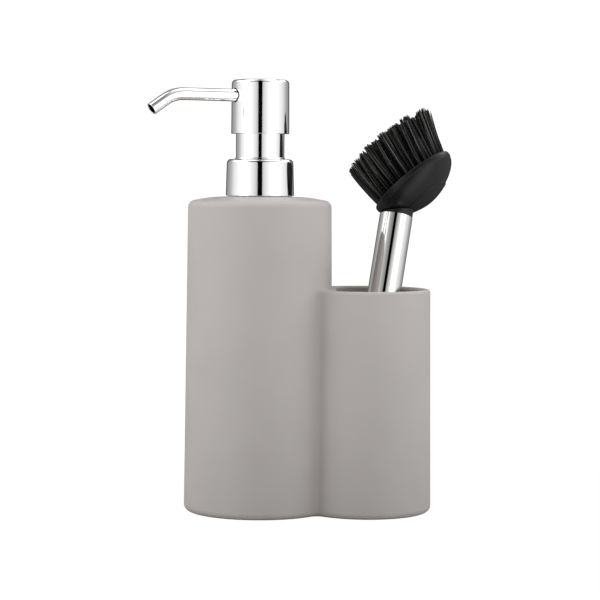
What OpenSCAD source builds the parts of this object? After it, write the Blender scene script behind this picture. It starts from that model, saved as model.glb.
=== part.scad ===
/* [Body] */
// Radius of the soap tank at its base
tank_r = 35; // [33:0.5:42]
// Radius of the brush cup at its base
cup_r = 31; // [28:0.5:34]
// Distance from the tank's axis to the cup's axis
cup_offset = 50.2; // [48:0.2:54]
// Height at which the tank's shoulder ends
shoulder_h = 145.9; // [130:0.1:180]
// Round of the tank's shoulder
shoulder_round = 3.4; // [2:0.1:5]
// Rise of the tank's crown above its shoulder
crown_rise = 1.6; // [0.8:0.1:3]
// Height of the cup's rim
cup_h = 104.7; // [90:0.1:115]
// Round of the cup's rim
rim_round = 1.4; // [0.8:0.1:1.4]
// Round of the base edge
base_round = 3; // [2:0.1:4]
// Draft of the outer walls in degrees
draft = 0.55; // [0:0.05:0.8]
// Fillet in the crease between tank and cup
crease_round = 2; // [1.6:0.1:5]
// Thickness of the tank's wall
tank_wall = 3.6; // [2.5:0.1:4.5]
// Thickness of the cup's wall at its rim
cup_wall = 2.9; // [2.6:0.1:3.6]
// Land between the tank's wall and the cup's cavity
land_w = 2.3; // [1.6:0.1:3]
// Round of the cavity's two inner corners, seen from above
corner_round = 13; // [8:0.5:14]
// Thickness of the floor
floor_t = 5.5; // [4:0.5:8]
// Depth of the two recesses under the base that hold the pads
pad_recess = 0.8; // [0.4:0.1:1.5]
// Width of the base ring round each pad
pad_margin = 3.2; // [2.5:0.1:5]

/* [Neck] */
// Radius of the hole in the crown
neck_hole_r = 14; // [13.8:0.1:14.2]
// Length of the insert's skirt below the crown
skirt_l = 12; // [8:0.5:16]
// Thickness of the insert's flange
flange_t = 1; // [0.8:0.1:1.5]
// Core radius of the threaded neck
neck_r = 12.6; // [12.4:0.1:12.8]
// Bore radius of the threaded neck
neck_bore_r = 10.9; // [10:0.1:11.4]
// Height of the threaded neck above its flange
neck_l = 9; // [8.4:0.1:9.2]
// Height of the thread ridge above the core
thread_h = 0.7; // [0.5:0.05:0.75]
// Pitch of the thread
thread_pitch = 4.2; // [3.6:0.1:4.4]
// Thickness of the sealing gasket
gasket_t = 1; // [0.6:0.1:1.5]

/* [Collar] */
// Radius of the collar at its lower edge
collar_r = 16; // [15.9:0.05:16.4]
// Radius of the collar at its top
collar_top_r = 15.55; // [15.45:0.05:15.9]
// Height of the collar
collar_h = 17.1; // [16.7:0.1:18]
// Gap between the crown and the collar
collar_gap = 0.4; // [0.3:0.1:1.2]
// Wall of the pressed metal shells
shell_t = 0.55; // [0.4:0.05:0.6]
// Wall of the closure nut outside its thread
nut_wall = 0.85; // [0.7:0.05:0.9]
// Radius of the fixed sleeve that the head slides over
sleeve_r = 11.35; // [10.8:0.05:11.8]

/* [Pump] */
// Travel of the head when it is pressed
stroke = 11; // [8:0.5:12]
// Radius of the pump head at its lower edge
head_r = 13.6; // [13.3:0.05:14.5]
// Radius of the pump head at its top
head_top_r = 13.45; // [13.2:0.05:14.2]
// Height of the pump head
head_h = 25.1; // [24.6:0.1:28]
// Gap between the head and the collar when it is pressed home
head_gap = 0.8; // [0.4:0.1:1.5]
// Round of the head's top edge
head_round = 1.8; // [0.8:0.1:2]
// Radius of the piston's stem
stem_r = 3.5; // [3.2:0.1:4]
// Radius of the pump cylinder's bore
barrel_bore_r = 6.5; // [6:0.1:6.8]
// Wall of the pump cylinder
barrel_wall = 1.1; // [0.8:0.1:1.4]
// Length of the pump cylinder below its flange
barrel_l = 46.5; // [44:0.5:60]
// Radius of the dip tube
dip_r = 2.4; // [2:0.1:2.8]
// Wall of the dip tube
dip_wall = 0.7; // [0.5:0.1:0.8]
// Gap between the dip tube and the tank's floor
dip_gap = 3.5; // [2:0.5:8]
// Curls of the return spring
spring_curls = 8; // [6:1:9]
// Radius of the return spring's wire
spring_wire_r = 0.45; // [0.35:0.05:0.5]

/* [Spout] */
// Radius of the spout tube
spout_r = 2.9; // [2.4:0.05:3]
// Wall of the spout tube
spout_wall = 0.6; // [0.4:0.05:0.8]
// Distance from the pump's axis to the start of the bend
spout_run = 40.2; // [36:0.1:46]
// Bend radius on the tube's axis
spout_bend_r = 16.8; // [14:0.2:24]
// Angle of the bend in degrees
spout_bend = 33.5; // [30:0.5:60]
// Straight end after the bend
spout_end = 8.2; // [3:0.1:10]
// Depth of the spout's axis below the head's top
spout_drop = 7.4; // [7.2:0.1:8]
// Direction of the spout about the pump's axis in degrees
spout_turn = 210; // [180:1:240]

/* [Brush] */
// Radius of the handle tube
handle_r = 7.95; // [7:0.05:8.2]
// Wall of the handle tube
handle_wall = 0.8; // [0.6:0.1:1.2]
// Length of the handle tube
handle_l = 134.9; // [130:0.1:150]
// Direction of the foot about the tank's axis in degrees
foot_dir = -12.8; // [-15:0.2:-11]
// Direction of the rim contact about the cup's axis in degrees
rim_dir = 60.6; // [57:0.2:64]
// Turn of the brush head about the handle in degrees
head_turn = 118.2; // [90:0.1:150]
// Angle between the handle and the bristles in degrees
head_tilt = 46.5; // [45:0.5:52]
// Radius of the bowl at its lip
bowl_r = 22; // [21:0.25:24]
// Depth of the bowl below its lip
bowl_d = 11.6; // [10.5:0.1:13]
// Height of the lip
lip_h = 2.2; // [1.8:0.1:3]
// Wall of the bowl
bowl_wall = 1.5; // [1.4:0.1:2.4]
// Distance of the bowl's centre from the handle's axis, along the lip's plane
bowl_offset = 6.8; // [6:0.2:8]
// Distance from the tube's end to the lip's plane, along the handle's axis
bowl_rise = 13.8; // [13.6:0.2:16]
// Shape of the bowl's underside: 2 is an ellipse and less is more pointed
bowl_power = 1.65; // [1.5:0.05:2]
// Thickness of the bristle plate
plate_t = 2.6; // [2:0.1:3]
// Tufts across the bowl
tufts = 9; // [8:1:10]
// Length of the strands at the bowl's middle
bristle_l = 25.2; // [22:0.2:30]
// How much shorter the strands at the edge are
bristle_crown = 3.6; // [0:0.2:6]
// Radius of a strand
strand_r = 0.36; // [0.3:0.02:0.4]

/* [Hidden] */
$fn = 96;

// Clearances and overruns
cut_over = 1;
glue_gap = 0.1;
slide_gap = 0.05;
seat_gap = 0.05;
loose_gap = 0.3;
arc_steps = 6;

// Levels of the body and the pump, from the base up
crown_h = shoulder_h + crown_rise;
collar_low = crown_h + collar_gap;
collar_high = collar_low + collar_h;
head_low = collar_high + stroke + head_gap;
head_high = head_low + head_h;
neck_low = crown_h + flange_t;
neck_high = neck_low + neck_l;
gasket_high = neck_high + gasket_t;
spout_h = head_high - spout_drop;

// Body
land_crown_r = collar_r + collar_gap;
tank_top_r = wall_at(tank_r, shoulder_h);
cup_top_r = wall_at(cup_r, cup_h);
crown_foot_r = tank_top_r - shoulder_round;
crown_slope = atan(2 * crown_rise / (crown_foot_r - land_crown_r));
floor_round = 4;
tank_floor_round = 5;
crown_t = 4.2;
taper = tan(draft);
crease_sink = 0.04;
anchor_depth = 5;
bore_steps = 22;
corner_steps = 7;
land_steps = 8;

// Closure
thread_turns = 1.5;
thread_steps = 20;
thread_root = 0.3;
thread_sink_share = 0.25;
thread_w = 1.4;
thread_crest_w = 0.5;
thread_clear = 0.1;
thread_gap = 0.7;
ridge_r = neck_r + thread_h;
nut_ridge_r = ridge_r + thread_clear;
nut_bore_r = nut_ridge_r + thread_h - thread_clear;
nut_r = nut_bore_r + nut_wall;
cylinder_flange_r = neck_r - glue_gap;
cylinder_flange_t = 1.4;
cylinder_high = gasket_high + cylinder_flange_t;
sleeve_foot_t = 1.1;
sleeve_foot_w = 1.6;
collar_plate_low = collar_high - shell_t;
nut_high = collar_plate_low - sleeve_foot_t - 2 * seat_gap;
nut_low = neck_low + collar_gap;
collar_round = 1.9;
sleeve_lip_w = 0.35;
sleeve_lap = 2.2;
sleeve_high = head_low + sleeve_lap;

// Pump cylinder
barrel_r = barrel_bore_r + barrel_wall;
barrel_low = gasket_high - barrel_l;
cap_flange_r = barrel_r + barrel_wall;
cap_flange_t = 1.3;
guide_wall = 1.6;
guide_high = collar_high + seat_gap;
ball_r = 2.5;
ball_catch = 0.3;
ball_chamber_r = 3.1;
ball_chamber_l = 6;
seat_r = 1.8;
seat_l = 1.6;
socket_l = 6;
nozzle_wall = 1.3;
dip_bore_r = dip_r - dip_wall;
socket_top = barrel_low - ball_chamber_l - seat_l;
nozzle_low = socket_top - socket_l;

// Piston
seal_l = 10;
spring_solid = spring_curls * 2 * spring_wire_r + 6 * spring_wire_r;
seal_low = barrel_low + stroke + spring_solid + 2;
stem_bore_r = 1.8;
stem_end_gap = 2.5;
hub_r = 7;
core_disc_low = sleeve_high + stroke + seat_gap + head_gap;
hub_low = guide_high + stroke + 2;
stem_high = core_disc_low - stem_end_gap;
outlet_ball_r = 2;
passage_r = 2.3;
core_top_gap = 0.4;
head_bore_r = head_top_r - shell_t;
core_r = head_bore_r - glue_gap;
core_bevel = head_round - shell_t;
spout_socket_start = 5;
spout_hole_gap = 0.5;
bend_step = 0.01;

// Brush, in the handle's own frame with its foot at the origin
cap_t = 2;
cap_skirt = 9;
rim_z = cup_h - rim_round;
lean_guess = atan(lean_run(0) / (cup_h - floor_t));
lean = atan(lean_run(lean_guess) / (rim_z - foot_z(lean_guess)));
lean_dir = atan2(rim_point(lean)[1] - foot_point()[1], rim_point(lean)[0] - foot_point()[0]);
handle_bore_r = handle_r - handle_wall;
plug_l = 14;
stud_r = 2.6;
stud_l = 4.6;
collar_ring_r = handle_r - 0.15;
collar_ring_l = 4.6;
collar_seat = 1.2;
boss_r = 6.2;
bowl_steps = 12;
bowl_centre_x = -bowl_offset * cos(head_tilt);
bowl_centre_z = handle_l + bowl_rise + bowl_offset * sin(head_tilt);
plate_r = bowl_r - bowl_wall - slide_gap * 2;
slice_t = 0.9;
grid_n = 2 * tufts;
tuft_share = 0.3;
flare_u = 8.7;
flare_back = 0.8;
flare_v = 2.4;
bulge_u = 0.8;
tip_share = 0.6;
ragged = 1.1;
strand_rings = 3;

function wall_at(r, z) = r - z * tan(draft);
function pad_hole_r(r) = r - base_round - pad_margin;
function arc_points(cx, cy, r, a0, a1, n) =
    [for (i = [0 : n]) let (a = a0 + (a1 - a0) * i / n) [cx + r * cos(a), cy + r * sin(a)]];
function foot_z(a) = floor_t + loose_gap + (handle_r * sin(a) + cap_t * cos(a));
function land_at(z) = wall_at(tank_r, z) + land_w;
function bore_at(z) = wall_at(cup_r, z) - cup_wall;
function foot_point() = (land_at(floor_t) + handle_r + loose_gap) * [cos(foot_dir), sin(foot_dir)];
function rim_point(a) = [cup_offset, 0]
    + (bore_at(rim_z) - handle_r / cos(a) - loose_gap) * [cos(rim_dir), sin(rim_dir)];
function lean_run(a) = norm(rim_point(a) - foot_point());

// A closed tube through a list of rings of equal length
function ring_faces(n, m) = concat(
    [for (i = [0 : n - 2], j = [0 : m - 1])
        each [[i * m + j, i * m + (j + 1) % m, (i + 1) * m + (j + 1) % m],
              [i * m + j, (i + 1) * m + (j + 1) % m, (i + 1) * m + j]]],
    [for (j = [1 : m - 2]) [0, j + 1, j]],
    [for (j = [1 : m - 2]) [(n - 1) * m, (n - 1) * m + j, (n - 1) * m + j + 1]]);

module loft(rings) {
    polyhedron(points = [for (r = rings) each r],
               faces = [for (f = ring_faces(len(rings), len(rings[0]))) [f[2], f[1], f[0]]]);
}

// Outer shape of the tank
module tank_outer() {
    ts = tank_top_r - shoulder_round;
    rotate_extrude() polygon(concat(
        [[0, 0]],
        arc_points(tank_r - base_round, base_round, base_round, -90, 0, arc_steps),
        arc_points(ts, shoulder_h - shoulder_round, shoulder_round, 0, 90 - crown_slope, arc_steps),
        [for (i = [1 : arc_steps]) let (s = 1 - i / arc_steps)
            [land_crown_r + s * (ts - land_crown_r), crown_h - crown_rise * s * s]],
        [[0, crown_h]]));
}

module cup_outer() {
    translate([cup_offset, 0, 0]) rotate_extrude() polygon(concat(
        [[0, 0]],
        arc_points(cup_r - base_round, base_round, base_round, -90, 0, arc_steps),
        arc_points(cup_top_r - rim_round, cup_h - rim_round, rim_round, 0, 90, arc_steps),
        [[0, cup_h]]));
}

// One level of the fillet in the crease, tangent to the tank and the cup
function crease_ring(z, tank_in, cup_in, r) =
    let (d1 = tank_r - tank_in + r - crease_sink,
         d2 = cup_r - cup_in + r - crease_sink,
         x = (d1 * d1 - d2 * d2 + cup_offset * cup_offset) / (2 * cup_offset),
         y = sqrt(d1 * d1 - x * x),
         a = 180 + atan2(y, x),
         b = 360 - atan2(y, cup_offset - x))
    [for (p = concat([[x, y - r - anchor_depth]], arc_points(x, y, r, b, a, 2 * arc_steps)))
        [p[0], p[1], z]];

module crease_fillet() {
    loft(concat(
        [for (i = [0 : arc_steps]) let (a = 90 * i / arc_steps,
                z = base_round * (1 - cos(a)), e = base_round * (1 - sin(a)) + z * taper)
            crease_ring(z, e, e, crease_round + e)],
        [for (i = [0 : arc_steps]) let (a = 90 * i / arc_steps,
                z = cup_h - rim_round * (1 - sin(a)), e = z * taper + rim_round * (1 - cos(a)))
            crease_ring(z, z * taper, e, crease_round + e)]));
}

// The cup's cavity from above at height z, drawn in by e all round
function cavity_outline(z, e) =
    let (rb = bore_at(z) - e, rl = land_at(z) + e, rc = corner_round - e,
         d1 = land_at(z) + corner_round, d2 = bore_at(z) - corner_round,
         x = (d1 * d1 - d2 * d2 + cup_offset * cup_offset) / (2 * cup_offset),
         y = sqrt(d1 * d1 - x * x),
         al = atan2(y, x), ab = atan2(y, x - cup_offset))
    concat(
        arc_points(cup_offset, 0, rb, 0, ab, bore_steps),
        [for (i = [1 : corner_steps]) let (a = ab + (180 + al - ab) * i / corner_steps)
            [x + rc * cos(a), y + rc * sin(a)]],
        [for (i = [1 : land_steps - 1]) let (a = al - 2 * al * i / land_steps)
            [rl * cos(a), rl * sin(a)]],
        [for (i = [0 : corner_steps - 1]) let (a = 180 - al + (al - ab + 180) * i / corner_steps)
            [x + rc * cos(a), -y + rc * sin(a)]],
        [for (i = [0 : bore_steps - 1]) let (a = ab * (i / bore_steps - 1))
            [cup_offset + rb * cos(a), rb * sin(a)]]);

module cup_cavity() {
    levels = concat(
        [for (i = [0 : arc_steps]) let (a = 90 * i / arc_steps)
            [floor_t + floor_round * (1 - cos(a)), floor_round * (1 - sin(a))]],
        [for (i = [0 : arc_steps]) let (a = 90 * i / arc_steps)
            [cup_h - rim_round * (1 - sin(a)), -rim_round * (1 - cos(a))]],
        [[cup_h + cut_over, -rim_round]]);
    loft([for (l = levels) [for (p = cavity_outline(l[0], l[1])) [p[0], p[1], l[0]]]]);
}

module tank_cavity() {
    low_r = tank_r - tank_wall;
    high_r = tank_top_r - tank_wall;
    rotate_extrude() polygon(concat(
        [[0, floor_t]],
        arc_points(low_r - tank_floor_round, floor_t + tank_floor_round, tank_floor_round,
                   -90, 0, arc_steps),
        arc_points(high_r - shoulder_round, shoulder_h - crown_t - shoulder_round, shoulder_round,
                   0, 90, arc_steps),
        [[neck_hole_r, crown_h - crown_t], [0, crown_h - crown_t]]));
}

module ceramic_body() {
    color([0.68, 0.665, 0.65]) difference() {
        union() {
            tank_outer();
            cup_outer();
            crease_fillet();
            mirror([0, 1, 0]) crease_fillet();
        }
        tank_cavity();
        cup_cavity();
        translate([0, 0, crown_h - crown_t - cut_over])
            cylinder(r = neck_hole_r, h = crown_t + 2 * cut_over);
        translate([0, 0, -cut_over])
            cylinder(r = pad_hole_r(tank_r), h = cut_over + pad_recess);
        translate([cup_offset, 0, -cut_over])
            cylinder(r = pad_hole_r(cup_r) - pad_margin, h = cut_over + pad_recess);
    }
}

module tank_pad() {
    color([0.4, 0.4, 0.4]) cylinder(r = pad_hole_r(tank_r) - glue_gap, h = pad_recess - glue_gap);
}

module cup_pad() {
    color([0.4, 0.4, 0.4]) translate([cup_offset, 0, 0])
        cylinder(r = pad_hole_r(cup_r) - pad_margin - glue_gap, h = pad_recess - glue_gap);
}

// A ridge that climbs round the axis and sinks into the wall at both ends; side is 1 outward, -1 inward
module thread_ridge(root, crest, low, side) {
    n = round(thread_turns * thread_steps);
    in = root - side * thread_root;
    loft([for (i = [0 : n])
        let (a = 360 * i / thread_steps,
             z = low + thread_pitch * i / thread_steps,
             grow = min(1, i - thread_sink_share, n - i - thread_sink_share),
             c = root + (crest - root) * grow,
             w = thread_w / 2, v = thread_crest_w / 2,
             section = [[in, -w], [c, -v], [c, v], [in, w]])
        [for (j = [0 : len(section) - 1])
            let (p = section[side > 0 ? len(section) - 1 - j : j])
            [p[0] * cos(a), p[0] * sin(a), z + p[1]]]]);
}

module neck_insert() {
    color([0.93, 0.93, 0.92]) difference() {
        union() {
            translate([0, 0, crown_h - skirt_l])
                cylinder(r = neck_hole_r - glue_gap, h = skirt_l + flange_t);
            translate([0, 0, crown_h])
                cylinder(r = neck_hole_r + flange_t, h = flange_t);
            translate([0, 0, neck_low - thread_root])
                cylinder(r = neck_r, h = neck_l + thread_root);
            thread_ridge(neck_r, ridge_r, neck_low + thread_w, 1);
        }
        translate([0, 0, crown_h - skirt_l - cut_over])
            cylinder(r = neck_bore_r, h = skirt_l + flange_t + neck_l + 2 * cut_over);
    }
}

module neck_gasket() {
    color([0.85, 0.86, 0.87]) translate([0, 0, neck_high]) difference() {
        cylinder(r = neck_r, h = gasket_t);
        translate([0, 0, -cut_over])
            cylinder(r = barrel_r + barrel_wall, h = gasket_t + 2 * cut_over);
    }
}

// The cylinder of the pump with its flange, ball seat and nozzle
module pump_cylinder() {
    nozzle_r = dip_r + nozzle_wall;
    chamber_low = socket_top + seat_l;
    color([0.95, 0.95, 0.94]) rotate_extrude() polygon([
        [dip_r + slide_gap, nozzle_low], [nozzle_r, nozzle_low], [nozzle_r, socket_top],
        [ball_chamber_r + nozzle_wall, chamber_low],
        [ball_chamber_r + nozzle_wall, barrel_low - barrel_wall],
        [barrel_r, barrel_low + barrel_wall], [barrel_r, gasket_high],
        [cylinder_flange_r, gasket_high], [cylinder_flange_r, cylinder_high],
        [barrel_bore_r, cylinder_high], [barrel_bore_r, barrel_low + barrel_wall],
        [ball_r - ball_catch, barrel_low], [ball_r - ball_catch, barrel_low - ball_catch],
        [ball_chamber_r, barrel_low - barrel_wall], [ball_chamber_r, chamber_low + seat_l],
        [seat_r, chamber_low], [seat_r, socket_top], [dip_r + slide_gap, socket_top]]);
}

module cylinder_cap() {
    bore = stem_r + slide_gap;
    flange_low = cylinder_high + seat_gap;
    skirt_r = barrel_bore_r - slide_gap;
    skirt_low = seal_low + seal_l + seat_gap;
    color([0.9, 0.9, 0.89]) rotate_extrude() polygon([
        [bore, skirt_low], [skirt_r, skirt_low],
        [skirt_r, flange_low], [cap_flange_r, flange_low],
        [cap_flange_r, flange_low + cap_flange_t], [bore + guide_wall, flange_low + cap_flange_t],
        [bore + guide_wall, guide_high], [bore, guide_high]]);
}

module dip_tube() {
    low = floor_t + dip_gap;
    color([0.93, 0.95, 0.96, 0.8]) rotate_extrude() polygon([
        [dip_bore_r, low], [dip_r, low], [dip_r, socket_top - seat_gap],
        [dip_bore_r, socket_top - seat_gap]]);
}

// The ball rests where the cone of its seat is tangent to it
module inlet_ball() {
    half = atan2(ball_chamber_r - seat_r, seat_l);
    rise = (ball_r + slide_gap) / sin(half) - seat_r / tan(half);
    color([0.8, 0.82, 0.84]) translate([0, 0, socket_top + seat_l + rise]) sphere(r = ball_r);
}

// The spring's wire: its first and last curls lie flat and the rest climb evenly
spring_low = barrel_low + barrel_wall + spring_wire_r + slide_gap;
spring_high = seal_low - spring_wire_r - slide_gap;
spring_r = barrel_bore_r - spring_wire_r - loose_gap;
spring_curl_steps = 8;
spring_sides = 6;
spring_n = spring_curls * spring_curl_steps;
spring_flat = 3 * spring_wire_r;
function spring_z(c) = spring_low + spring_flat * (min(c, 1) + max(c - spring_curls + 1, 0))
    + (spring_high - spring_low - 2 * spring_flat)
      * min(max(c - 1, 0), spring_curls - 2) / (spring_curls - 2);
function spring_point(c) = [spring_r * cos(360 * c), spring_r * sin(360 * c), spring_z(c)];
spring_route = [for (i = [0 : spring_n]) spring_point(i / spring_curl_steps)];
echo(spring_gap_to_itself = min([for (i = [0 : spring_n], j = [i + spring_curl_steps / 2 : 1 : spring_n])
    norm(spring_route[i] - spring_route[j])]) - 2 * spring_wire_r);

module return_spring() {
    color([0.7, 0.71, 0.73]) loft([for (i = [0 : spring_n])
        let (a = 360 * i / spring_curl_steps, p = spring_route[i])
        [for (j = [0 : spring_sides - 1]) let (b = 360 * j / spring_sides)
            [p[0] + spring_wire_r * cos(b) * cos(a), p[1] + spring_wire_r * cos(b) * sin(a),
             p[2] - spring_wire_r * sin(b)]]]);
}

module piston_seal() {
    bore = stem_r + slide_gap;
    lip_r = barrel_bore_r - slide_gap;
    waist_r = lip_r - barrel_wall;
    lip_l = seal_l / 4;
    color([0.96, 0.96, 0.95]) rotate_extrude() polygon([
        [bore, seal_low], [lip_r, seal_low], [lip_r, seal_low + lip_l],
        [waist_r, seal_low + lip_l + barrel_wall], [waist_r, seal_low + seal_l - lip_l - barrel_wall],
        [lip_r, seal_low + seal_l - lip_l], [lip_r, seal_low + seal_l], [bore, seal_low + seal_l]]);
}

module piston_stem() {
    color([0.92, 0.92, 0.9]) translate([0, 0, seal_low]) difference() {
        cylinder(r = stem_r, h = stem_high - seal_low);
        translate([0, 0, -cut_over])
            cylinder(r = stem_bore_r, h = stem_high - seal_low + 2 * cut_over);
    }
}

module outlet_ball() {
    rise = sqrt(outlet_ball_r * outlet_ball_r - stem_bore_r * stem_bore_r);
    color([0.8, 0.82, 0.84]) translate([0, 0, stem_high + rise + seat_gap]) sphere(r = outlet_ball_r);
}

module closure_nut() {
    web_low = cylinder_high + seat_gap;
    color([0.2, 0.2, 0.2]) difference() {
        union() {
            difference() {
                translate([0, 0, nut_low]) cylinder(r = nut_r, h = nut_high - nut_low);
                translate([0, 0, nut_low - cut_over])
                    cylinder(r = nut_bore_r, h = web_low - nut_low + cut_over);
            }
            thread_ridge(nut_bore_r, nut_ridge_r, neck_low + thread_gap + thread_w, -1);
        }
        translate([0, 0, web_low - cut_over])
            cylinder(r = cap_flange_r + glue_gap, h = nut_high - web_low + 2 * cut_over);
    }
}

module collar_shell() {
    low_in = collar_r - shell_t;
    top_in = collar_top_r - shell_t;
    color([0.82, 0.83, 0.84]) rotate_extrude() polygon(concat(
        [[low_in, collar_low], [collar_r, collar_low]],
        arc_points(collar_top_r - collar_round, collar_high - collar_round, collar_round,
                   0, 90, arc_steps),
        [[sleeve_r + seat_gap, collar_high], [sleeve_r + seat_gap, collar_plate_low]],
        arc_points(top_in - collar_round + shell_t, collar_plate_low - collar_round + shell_t,
                   collar_round - shell_t, 90, 0, arc_steps)));
}

module neck_sleeve() {
    bore = sleeve_r - shell_t;
    foot_low = nut_high + seat_gap;
    foot_high = foot_low + sleeve_foot_t;
    color([0.82, 0.83, 0.84]) rotate_extrude() polygon(concat(
        [[bore, foot_low], [sleeve_r + sleeve_foot_w, foot_low],
         [sleeve_r + sleeve_foot_w, foot_high], [sleeve_r, foot_high],
         [sleeve_r, collar_high + seat_gap]],
        arc_points(sleeve_r, collar_high + seat_gap + sleeve_lip_w, sleeve_lip_w, -90, 90, arc_steps),
        [[sleeve_r, sleeve_high - shell_t], [sleeve_r - shell_t / 2, sleeve_high],
         [bore, sleeve_high]]));
}

// The plastic core inside the head, with the stem's socket and the way to the spout
module head_core() {
    core_high = head_high - shell_t - core_top_gap;
    color([0.2, 0.2, 0.2]) difference() {
        union() {
            rotate_extrude() polygon([[0, core_disc_low], [core_r, core_disc_low],
                [core_r, core_high - core_bevel], [core_r - core_bevel, core_high], [0, core_high]]);
            translate([0, 0, hub_low]) cylinder(r = hub_r, h = core_disc_low - hub_low + glue_gap);
        }
        translate([0, 0, hub_low - cut_over])
            cylinder(r = stem_r + seat_gap, h = stem_high - hub_low + cut_over);
        translate([0, 0, stem_high - glue_gap])
            cylinder(r = passage_r, h = spout_h - stem_high + glue_gap);
        translate([0, 0, spout_h]) rotate([0, 0, spout_turn]) rotate([0, 90, 0]) {
            cylinder(r = min(passage_r, spout_r - spout_wall) - glue_gap,
                     h = spout_socket_start + glue_gap);
            translate([0, 0, spout_socket_start])
                cylinder(r = spout_r + seat_gap, h = head_r);
        }
    }
}

module head_shell() {
    in = head_bore_r;
    low_in = head_r - shell_t;
    top = head_high;
    color([0.82, 0.83, 0.84]) difference() {
        rotate_extrude() polygon(concat(
            [[low_in, head_low], [head_r, head_low]],
            arc_points(head_top_r - head_round, top - head_round, head_round, 0, 90, arc_steps),
            [[0, top], [0, top - shell_t]],
            arc_points(head_top_r - head_round, top - head_round, head_round - shell_t,
                       90, 0, arc_steps)));
        translate([0, 0, spout_h]) rotate([0, 0, spout_turn]) rotate([0, 90, 0])
            translate([0, 0, in / 2]) cylinder(r = spout_r + spout_hole_gap, h = head_r);
    }
}

// The spout lies along +X here; its bend is drawn a hair inside its straight ends
module spout_solid(r, over, step) {
    start = spout_socket_start + seat_gap - over;
    translate([start, 0, 0]) rotate([0, 90, 0]) cylinder(r = r, h = spout_run - start);
    translate([spout_run, 0, -spout_bend_r]) rotate([90, 0, 0]) rotate([0, 0, 90 - spout_bend])
        rotate_extrude(angle = spout_bend) translate([spout_bend_r, 0]) circle(r = r + step);
    translate([spout_run + spout_bend_r * sin(spout_bend), 0,
               -spout_bend_r * (1 - cos(spout_bend))])
        rotate([0, 90 + spout_bend, 0]) cylinder(r = r, h = spout_end + over);
}

module spout_tube() {
    color([0.82, 0.83, 0.84]) translate([0, 0, spout_h]) rotate([0, 0, spout_turn]) difference() {
        spout_solid(spout_r, 0, -bend_step);
        spout_solid(spout_r - spout_wall, cut_over, bend_step);
    }
}

// Puts what stands on the handle's axis where the brush leans in the cup
module in_cup() {
    p = foot_point();
    translate([p[0], p[1], foot_z(lean)]) rotate([0, 0, lean_dir]) rotate([0, lean, 0])
        rotate([0, 0, head_turn]) children();
}

// Puts the bowl's frame, bristles along its +Z and toe along its +X, on the handle
module on_handle() {
    translate([bowl_centre_x, 0, bowl_centre_z]) rotate([0, head_tilt, 0]) rotate([0, 0, 180])
        children();
}

module handle_tube() {
    color([0.82, 0.83, 0.84]) in_cup() rotate_extrude() polygon(concat(
        [[handle_bore_r, 0], [handle_r, 0]],
        arc_points(handle_r - handle_wall / 2, handle_l - handle_wall / 2, handle_wall / 2,
                   0, 90, arc_steps),
        [[handle_bore_r, handle_l]]));
}

module handle_end_cap() {
    color([0.15, 0.15, 0.15]) in_cup() rotate_extrude() polygon([
        [0, -cap_t], [handle_r - cap_t / 2, -cap_t], [handle_r, -cap_t / 2],
        [handle_r, -seat_gap], [handle_bore_r - slide_gap, -seat_gap],
        [handle_bore_r - slide_gap, cap_skirt], [handle_bore_r - 2 * handle_wall, cap_skirt],
        [handle_bore_r - 2 * handle_wall, cap_t], [0, cap_t]]);
}

// The plug in the tube's top, with the stud that the head screws on
module handle_plug() {
    color([0.3, 0.3, 0.3]) in_cup() rotate_extrude() polygon([
        [0, handle_l - plug_l], [handle_bore_r - slide_gap, handle_l - plug_l],
        [handle_bore_r - slide_gap, handle_l], [stud_r, handle_l],
        [stud_r, handle_l + stud_l], [0, handle_l + stud_l]]);
}

// Half of the bowl's underside, from its lowest point out to its widest
function bowl_curve(r, d) = [for (i = [0 : bowl_steps]) let (a = 90 * i / bowl_steps)
    [r * pow(sin(a), 2 / bowl_power), -d * pow(cos(a), 2 / bowl_power)]];

// The bowl's outside, as a solid of revolution about its +Z
module bowl_solid(grow) {
    lip_round = lip_h / 2;
    rotate_extrude() polygon(concat(
        [for (q = bowl_curve(bowl_r + grow, bowl_d + grow)) [q[0], q[1] - lip_h]],
        arc_points(bowl_r - lip_round + grow, -lip_round, lip_round, 0, 90, arc_steps),
        [[0, 0]]));
}

module bowl_hollow() {
    in = bowl_r - bowl_wall;
    translate([0, 0, -lip_h]) rotate_extrude() polygon(concat(
        bowl_curve(in, bowl_d - bowl_wall), [[in, lip_h + cut_over], [0, lip_h + cut_over]]));
}

module brush_collar() {
    color([0.16, 0.16, 0.16]) in_cup() difference() {
        translate([0, 0, handle_l + seat_gap]) cylinder(r = collar_ring_r, h = collar_ring_l);
        translate([0, 0, handle_l - cut_over])
            cylinder(r = stud_r + glue_gap, h = collar_ring_l + 2 * cut_over);
        difference() {
            on_handle() bowl_solid(seat_gap);
            translate([0, 0, handle_l - cut_over])
                cylinder(r = handle_r, h = collar_seat + cut_over);
        }
    }
}

module brush_bowl() {
    plate_low = slice_t + plate_t;
    color([0.16, 0.16, 0.16]) in_cup() difference() {
        on_handle() difference() {
            union() {
                difference() {
                    bowl_solid(0);
                    bowl_hollow();
                }
                intersection() {
                    bowl_solid(0);
                    rotate([0, 0, 180]) rotate([0, -head_tilt, 0])
                        translate([-bowl_centre_x, 0, handle_l - bowl_centre_z])
                        cylinder(r = boss_r, h = bowl_rise + bowl_d);
                }
            }
            translate([0, 0, -plate_low - seat_gap])
                cylinder(r = plate_r + glue_gap, h = plate_low + cut_over);
        }
        translate([0, 0, handle_l - bowl_r])
            cylinder(r = collar_ring_r + glue_gap, h = bowl_r + collar_seat + seat_gap);
        translate([0, 0, handle_l - cut_over])
            cylinder(r = stud_r + seat_gap, h = stud_l + cut_over + glue_gap);
    }
}

module bristle_plate() {
    color([0.12, 0.12, 0.12]) in_cup() on_handle()
        translate([0, 0, -slice_t - plate_t]) cylinder(r = plate_r, h = plate_t - seat_gap);
}

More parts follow.
